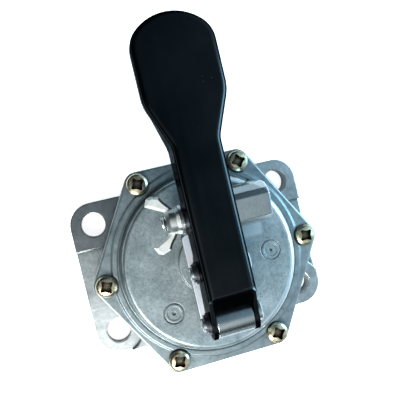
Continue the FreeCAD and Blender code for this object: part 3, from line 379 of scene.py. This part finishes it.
def enamel(name):
    """Gloss black enamel with hairlines, dust, and edges painted pale along the walls as painted
    highlights, widest and palest on the right edge.

    It is a dark metal with a dark tint at a glancing angle, so its walls stay black there.
    """
    made, tree, shader = new_material(name)
    cloud = noise(tree, 60, detail=2.0, rough=0.5)
    hair = noise(tree, 420, detail=2.0, rough=0.4, stretch=(1.0, 0.03, 1.0))
    paint = ramp(tree, cloud, [(0.3, PAINT_DARK), (0.7, PAINT_LIGHT)])
    # painted highlight along the walls' edges
    edge_highlight_tint = mix(tree, within(tree, WALL_STRETCH, STRETCH_FADE), END_EDGE, WALL_EDGE_HIGHLIGHT)
    paint = mix(tree, edge_nearness(tree, 1.1), paint, edge_highlight_tint)
    # painted highlight: a wide pale strip, with its own roughness, on the right edge only
    wide_edge = edge_nearness(tree, 2.6, hard=0.88, plain=0.995, samples=16)
    right_highlight = calculate(tree, "MULTIPLY", wide_edge, within(tree, RIGHT_EDGE_STRETCH, STRETCH_FADE))
    paint = mix(tree, right_highlight, paint, RIGHT_EDGE_HIGHLIGHT)
    dusty_fields = spread(tree, noise(tree, 95, detail=1.0, rough=0.5), 0.0, 1.0, 0.66, 0.70)
    specks = calculate(tree, "MULTIPLY", spots(tree, 420, 0.045, 0.075), dusty_fields)
    link(tree, mix(tree, specks, paint, DUST), shader.inputs["Base Color"])
    gloss = spread(tree, hair, 0.13, 0.20)
    link(tree, between(tree, right_highlight, gloss, RIGHT_EDGE_ROUGHNESS), shader.inputs["Roughness"])
    shader.inputs["Metallic"].default_value = 1.0
    fill(tree, shader.inputs["Specular Tint"], PAINT_GLANCING)
    bump(tree, shader, [(cloud, 0.10, 0.06), (hair, 0.01, 0.1)])
    return made


def soft_rubber(name, tone):
    """Matt moulded rubber."""
    made, tree, shader = new_material(name)
    cloud = noise(tree, 500, detail=3.0, rough=0.6)
    colour = ramp(tree, cloud, [(0.3, tone), (0.7, scaled(tone, 1.6))])
    link(tree, colour, shader.inputs["Base Color"])
    link(tree, spread(tree, cloud, 0.55, 0.75), shader.inputs["Roughness"])
    bump(tree, shader, [(noise(tree, 2500, detail=2.0), 0.03, 0.3)])
    return made


# Finish of the cover: its platform and pad are milled and carry pale patches of painted highlight, its
# disc rim a ring of painted highlight on the right side, and its pivot eye and lock boss are turned
PLATFORM_TOP = (("Z", 42.1, 42.5), ("X", -10.5, 10.5), ("Y", -27.8, 13.8))
PAD_TOP = (("Z", 38.0, 42.0), ("X", 10.5, 24.0), ("Y", 6.5, 10.5))
PIVOT_EYE = (("X", -9, 9), ("Y", -27, -12), ("Z", 50, 66))
LOCK_BOSS = (("X", 9, 28), ("Y", 8, 34), ("Z", 43, 66))
cover_metal = cast_metal(
    "cover_casting", dark=(0.19, 0.24, 0.255), light=(0.31, 0.37, 0.385), edge=(0.44, 0.51, 0.53),
    grainy_to=34.5, turned=(PIVOT_EYE, LOCK_BOSS), band=(34.9, 37.4),
    painted_patches=((PLATFORM_TOP, 0.15, 1.0, (0.50, 0.53, 0.57)),
            (PAD_TOP, 1.4, 0.4, (0.48, 0.54, 0.58))))

# Finish of the housing: one ear of its plate is darkened with painted shade and one lightened with
# painted highlight, and its large hollows carry painted shade
SHADED_EAR = (("X", -60, -20), ("Y", 14.8, 60), ("Z", 3, 12))
LIT_EAR = (("X", -60, -12), ("Y", -60, -13), ("Z", 3, 12))
housing_metal = cast_metal(
    "housing_casting", dark=(0.47, 0.51, 0.51), light=(0.66, 0.70, 0.70), edge=(0.30, 0.33, 0.33),
    fineness=0.8, sleek_rough=(0.17, 0.24), sleek_metal=0.92, easing=0.8, hollow_shade_reach=7.0,
    painted_patches=((SHADED_EAR, 0.8, 0.6, (0.12, 0.125, 0.13)),
            (LIT_EAR, 0.8, 0.4, (0.86, 0.88, 0.88))))

# Other finishes; plated ones have their tones and their lowest and highest roughness
# the yellow zinc's recess colour is painted shade in the screws' cross recesses
yellow_zinc = plated(
    "yellow_zinc", [(0.48, 0.33, 0.22), (0.60, 0.52, 0.36), (0.40, 0.40, 0.26), (0.50, 0.36, 0.38)],
    (0.22, 0.36), recess_shade=(0.030, 0.018, 0.011))
# the wing nut's last colour is painted shade on its rear faces
wing_zinc = wing_metal("wing_zinc", (0.50, 0.54, 0.53), (0.68, 0.72, 0.71), (0.012, 0.018, 0.018))
dark_washer = plated("dark_washer", [(0.08, 0.085, 0.10), (0.14, 0.145, 0.165)], (0.3, 0.45))
dull_zinc = plated("dull_zinc", [(0.30, 0.34, 0.35), (0.45, 0.49, 0.50)], (0.25, 0.42))
clip_steel = plated("clip_steel", [(0.10, 0.11, 0.12), (0.18, 0.19, 0.20)], (0.25, 0.4))
ground_steel = plated("ground_steel", [(0.42, 0.44, 0.45), (0.52, 0.54, 0.55)], (0.15, 0.28))
spring_wire = plated("spring_wire", [(0.16, 0.17, 0.18), (0.26, 0.27, 0.28)], (0.25, 0.4))
brass = plated("turned_brass", [(0.50, 0.36, 0.14), (0.60, 0.46, 0.20)], (0.2, 0.35))
stud_metal = threaded(
    "stud_zinc", [(0.40, 0.45, 0.46), (0.55, 0.60, 0.61)], (0.25, 0.4), pitch=1.0, axis="X")
black_enamel = enamel("black_enamel")
ring_rubber = soft_rubber("ring_rubber", (0.010, 0.010, 0.011))
sheet_rubber = soft_rubber("sheet_rubber", (0.016, 0.015, 0.015))

SPRINGS = ("return_spring", "inlet_valve_spring", "outlet_valve_spring")
finishes = (
    (housing_metal, ("pump_housing",)),
    (cover_metal, ("top_cover",)),
    (yellow_zinc, ("cover_screws",)),
    (black_enamel, ("lever",)),
    (wing_zinc, ("wing_nut",)),
    (stud_metal, ("lock_stud",)),
    (dull_zinc, ("lock_washer", "pivot_pin", "rod_pin", "spring_cap", "upper_diaphragm_plate",
                 "lower_diaphragm_plate", "rod_nut")),
    (dark_washer, ("pivot_pin_washer", "rod_pin_washer")),
    (clip_steel, ("pivot_pin_clip", "rod_pin_clip")),
    (ground_steel, ("pull_rod",)),
    (spring_wire, SPRINGS),
    (brass, ("rod_bush", "inlet_valve_seat", "outlet_valve_seat", "inlet_valve_retainer",
             "outlet_valve_retainer")),
    (ring_rubber, ("rod_seal", "inlet_port_ring", "outlet_port_ring")),
    (sheet_rubber, ("inlet_valve_disc", "outlet_valve_disc", "diaphragm")),
)
for finish, names in finishes:
    for name in names:
        for slot in nodes[name].material_slots:
            slot.link = "OBJECT"
            slot.material = finish

# Round wire for the springs
WIRE_SUBDIVISIONS = 2
for name in SPRINGS:
    rounding = nodes[name].modifiers.new("smooth", "SUBSURF")
    rounding.levels = WIRE_SUBDIVISIONS
    rounding.render_levels = WIRE_SUBDIVISIONS

# Camera at the photograph's viewing place
CAMERA_PLACE = Vector((-34.92, 33.00, 261.46)) * MM
CAMERA_LOOK = Vector((0.1608, -0.0317, -0.9865)).normalized()
CAMERA_UP = Vector((0.2334, 0.9724, 0.0067))
CAMERA_LENS = 49.12
SENSOR_WIDTH = 36.0
NEAREST_SEEN = 5 * MM
right = CAMERA_LOOK.cross(CAMERA_UP).normalized()
up = right.cross(CAMERA_LOOK)
turn = Matrix((right, up, -CAMERA_LOOK)).transposed().to_4x4()
camera_data = bpy.data.cameras.new("camera")
camera = bpy.data.objects.new("camera", camera_data)
camera.matrix_world = Matrix.Translation(CAMERA_PLACE) @ turn
camera_data.lens = CAMERA_LENS
camera_data.sensor_width = SENSOR_WIDTH
camera_data.clip_start = NEAREST_SEEN
bpy.context.scene.collection.objects.link(camera)
bpy.context.scene.camera = camera


# Lamps
def area(name, place, aim, size, power, colour):
    """A square lamp at a place, turned to its aim, both in mm; its size is in metres."""
    data = bpy.data.lights.new(name, "AREA")
    data.size = size
    data.energy = power
    data.color = colour
    lamp = bpy.data.objects.new(name, data)
    lamp.location = Vector(place) * MM
    lamp.rotation_euler = (Vector(aim) * MM - lamp.location).to_track_quat("-Z", "Y").to_euler()
    bpy.context.scene.collection.objects.link(lamp)


area("key_left", place=(-170, -240, 300), aim=(-10, -10, 20), size=0.24, power=2.9,
     colour=(1.0, 1.0, 0.98))
area("side_right", place=(380, 30, 240), aim=(0, 0, 30), size=0.24, power=2.4,
     colour=(0.40, 0.76, 1.0))

# World: a dark room with soft glows, each (middle, cosine at its edge, cosine where it is full, colour)
ROOM_DARK = (0.020, 0.030, 0.040)
RIGHT_WALL = ((0.95, 0.05, 0.30), 0.43, 0.97, (0.80, 1.05, 1.25))
ABOVE_PIVOT_END = ((-0.25, -0.55, 0.80), 0.79, 0.95, (0.90, 0.92, 0.90))
FAINT_LEFT = ((-0.75, -0.45, 0.48), 0.80, 1.0, (0.10, 0.11, 0.11))
FAINT_OVERHEAD = ((0.42, 0.15, 0.90), 0.62, 1.0, (0.13, 0.20, 0.26))
world = bpy.data.worlds.new("studio")
bpy.context.scene.world = world
world.use_nodes = True
tree = world.node_tree
backdrop = tree.nodes["Background"]
outward = add(tree, "ShaderNodeTexCoord").outputs["Generated"]
sky = ROOM_DARK
for middle, edge, full, colour in (RIGHT_WALL, ABOVE_PIVOT_END, FAINT_LEFT, FAINT_OVERHEAD):
    along = add(tree, "ShaderNodeVectorMath", operation="DOT_PRODUCT")
    along.inputs[1].default_value = Vector(middle).normalized()
    link(tree, outward, along.inputs[0])
    share = spread(tree, along.outputs["Value"], 0.0, 1.0, edge, full)
    sky = mix(tree, 1.0, sky, ramp(tree, share, [(0.0, BLACK), (1.0, colour)]), "ADD")
# white to the camera beyond the floor
rays = add(tree, "ShaderNodeLightPath")
link(tree, mix(tree, rays.outputs["Is Camera Ray"], sky, WHITE), backdrop.inputs["Color"])
backdrop.inputs["Strength"].default_value = 1.0

# Floor: pale, white to the camera and faintly so to metal, and it keeps the object's shadow
FLOOR_REACH = 1.5
FLOOR_DROP = 0.02 * MM
FLOOR_GLOW = 0.85
GLOW_IN_METAL = 0.15
corners = [(x * FLOOR_REACH, y * FLOOR_REACH, 0) for x, y in ((-1, -1), (1, -1), (1, 1), (-1, 1))]
floor_mesh = bpy.data.meshes.new("floor")
floor_mesh.from_pydata(corners, [], [(0, 1, 2, 3)])
floor = bpy.data.objects.new("floor", floor_mesh)
floor.location = (0, 0, -FLOOR_DROP)
bpy.context.scene.collection.objects.link(floor)
floor_paint, tree, shader = new_material("floor_paint")
shader.inputs["Base Color"].default_value = (0.86, 0.86, 0.86, 1)
shader.inputs["Roughness"].default_value = 0.9
shader.inputs["Emission Color"].default_value = (1, 1, 1, 1)
rays = add(tree, "ShaderNodeLightPath")
in_metal = calculate(tree, "MULTIPLY", rays.outputs["Is Glossy Ray"], GLOW_IN_METAL)
seen = calculate(tree, "MAXIMUM", rays.outputs["Is Camera Ray"], in_metal)
seen = calculate(tree, "MAXIMUM", seen, rays.outputs["Is Transmission Ray"])
link(tree, calculate(tree, "MULTIPLY", seen, FLOOR_GLOW), shader.inputs["Emission Strength"])
floor_mesh.materials.append(floor_paint)

bpy.context.scene.view_settings.view_transform = "Standard"
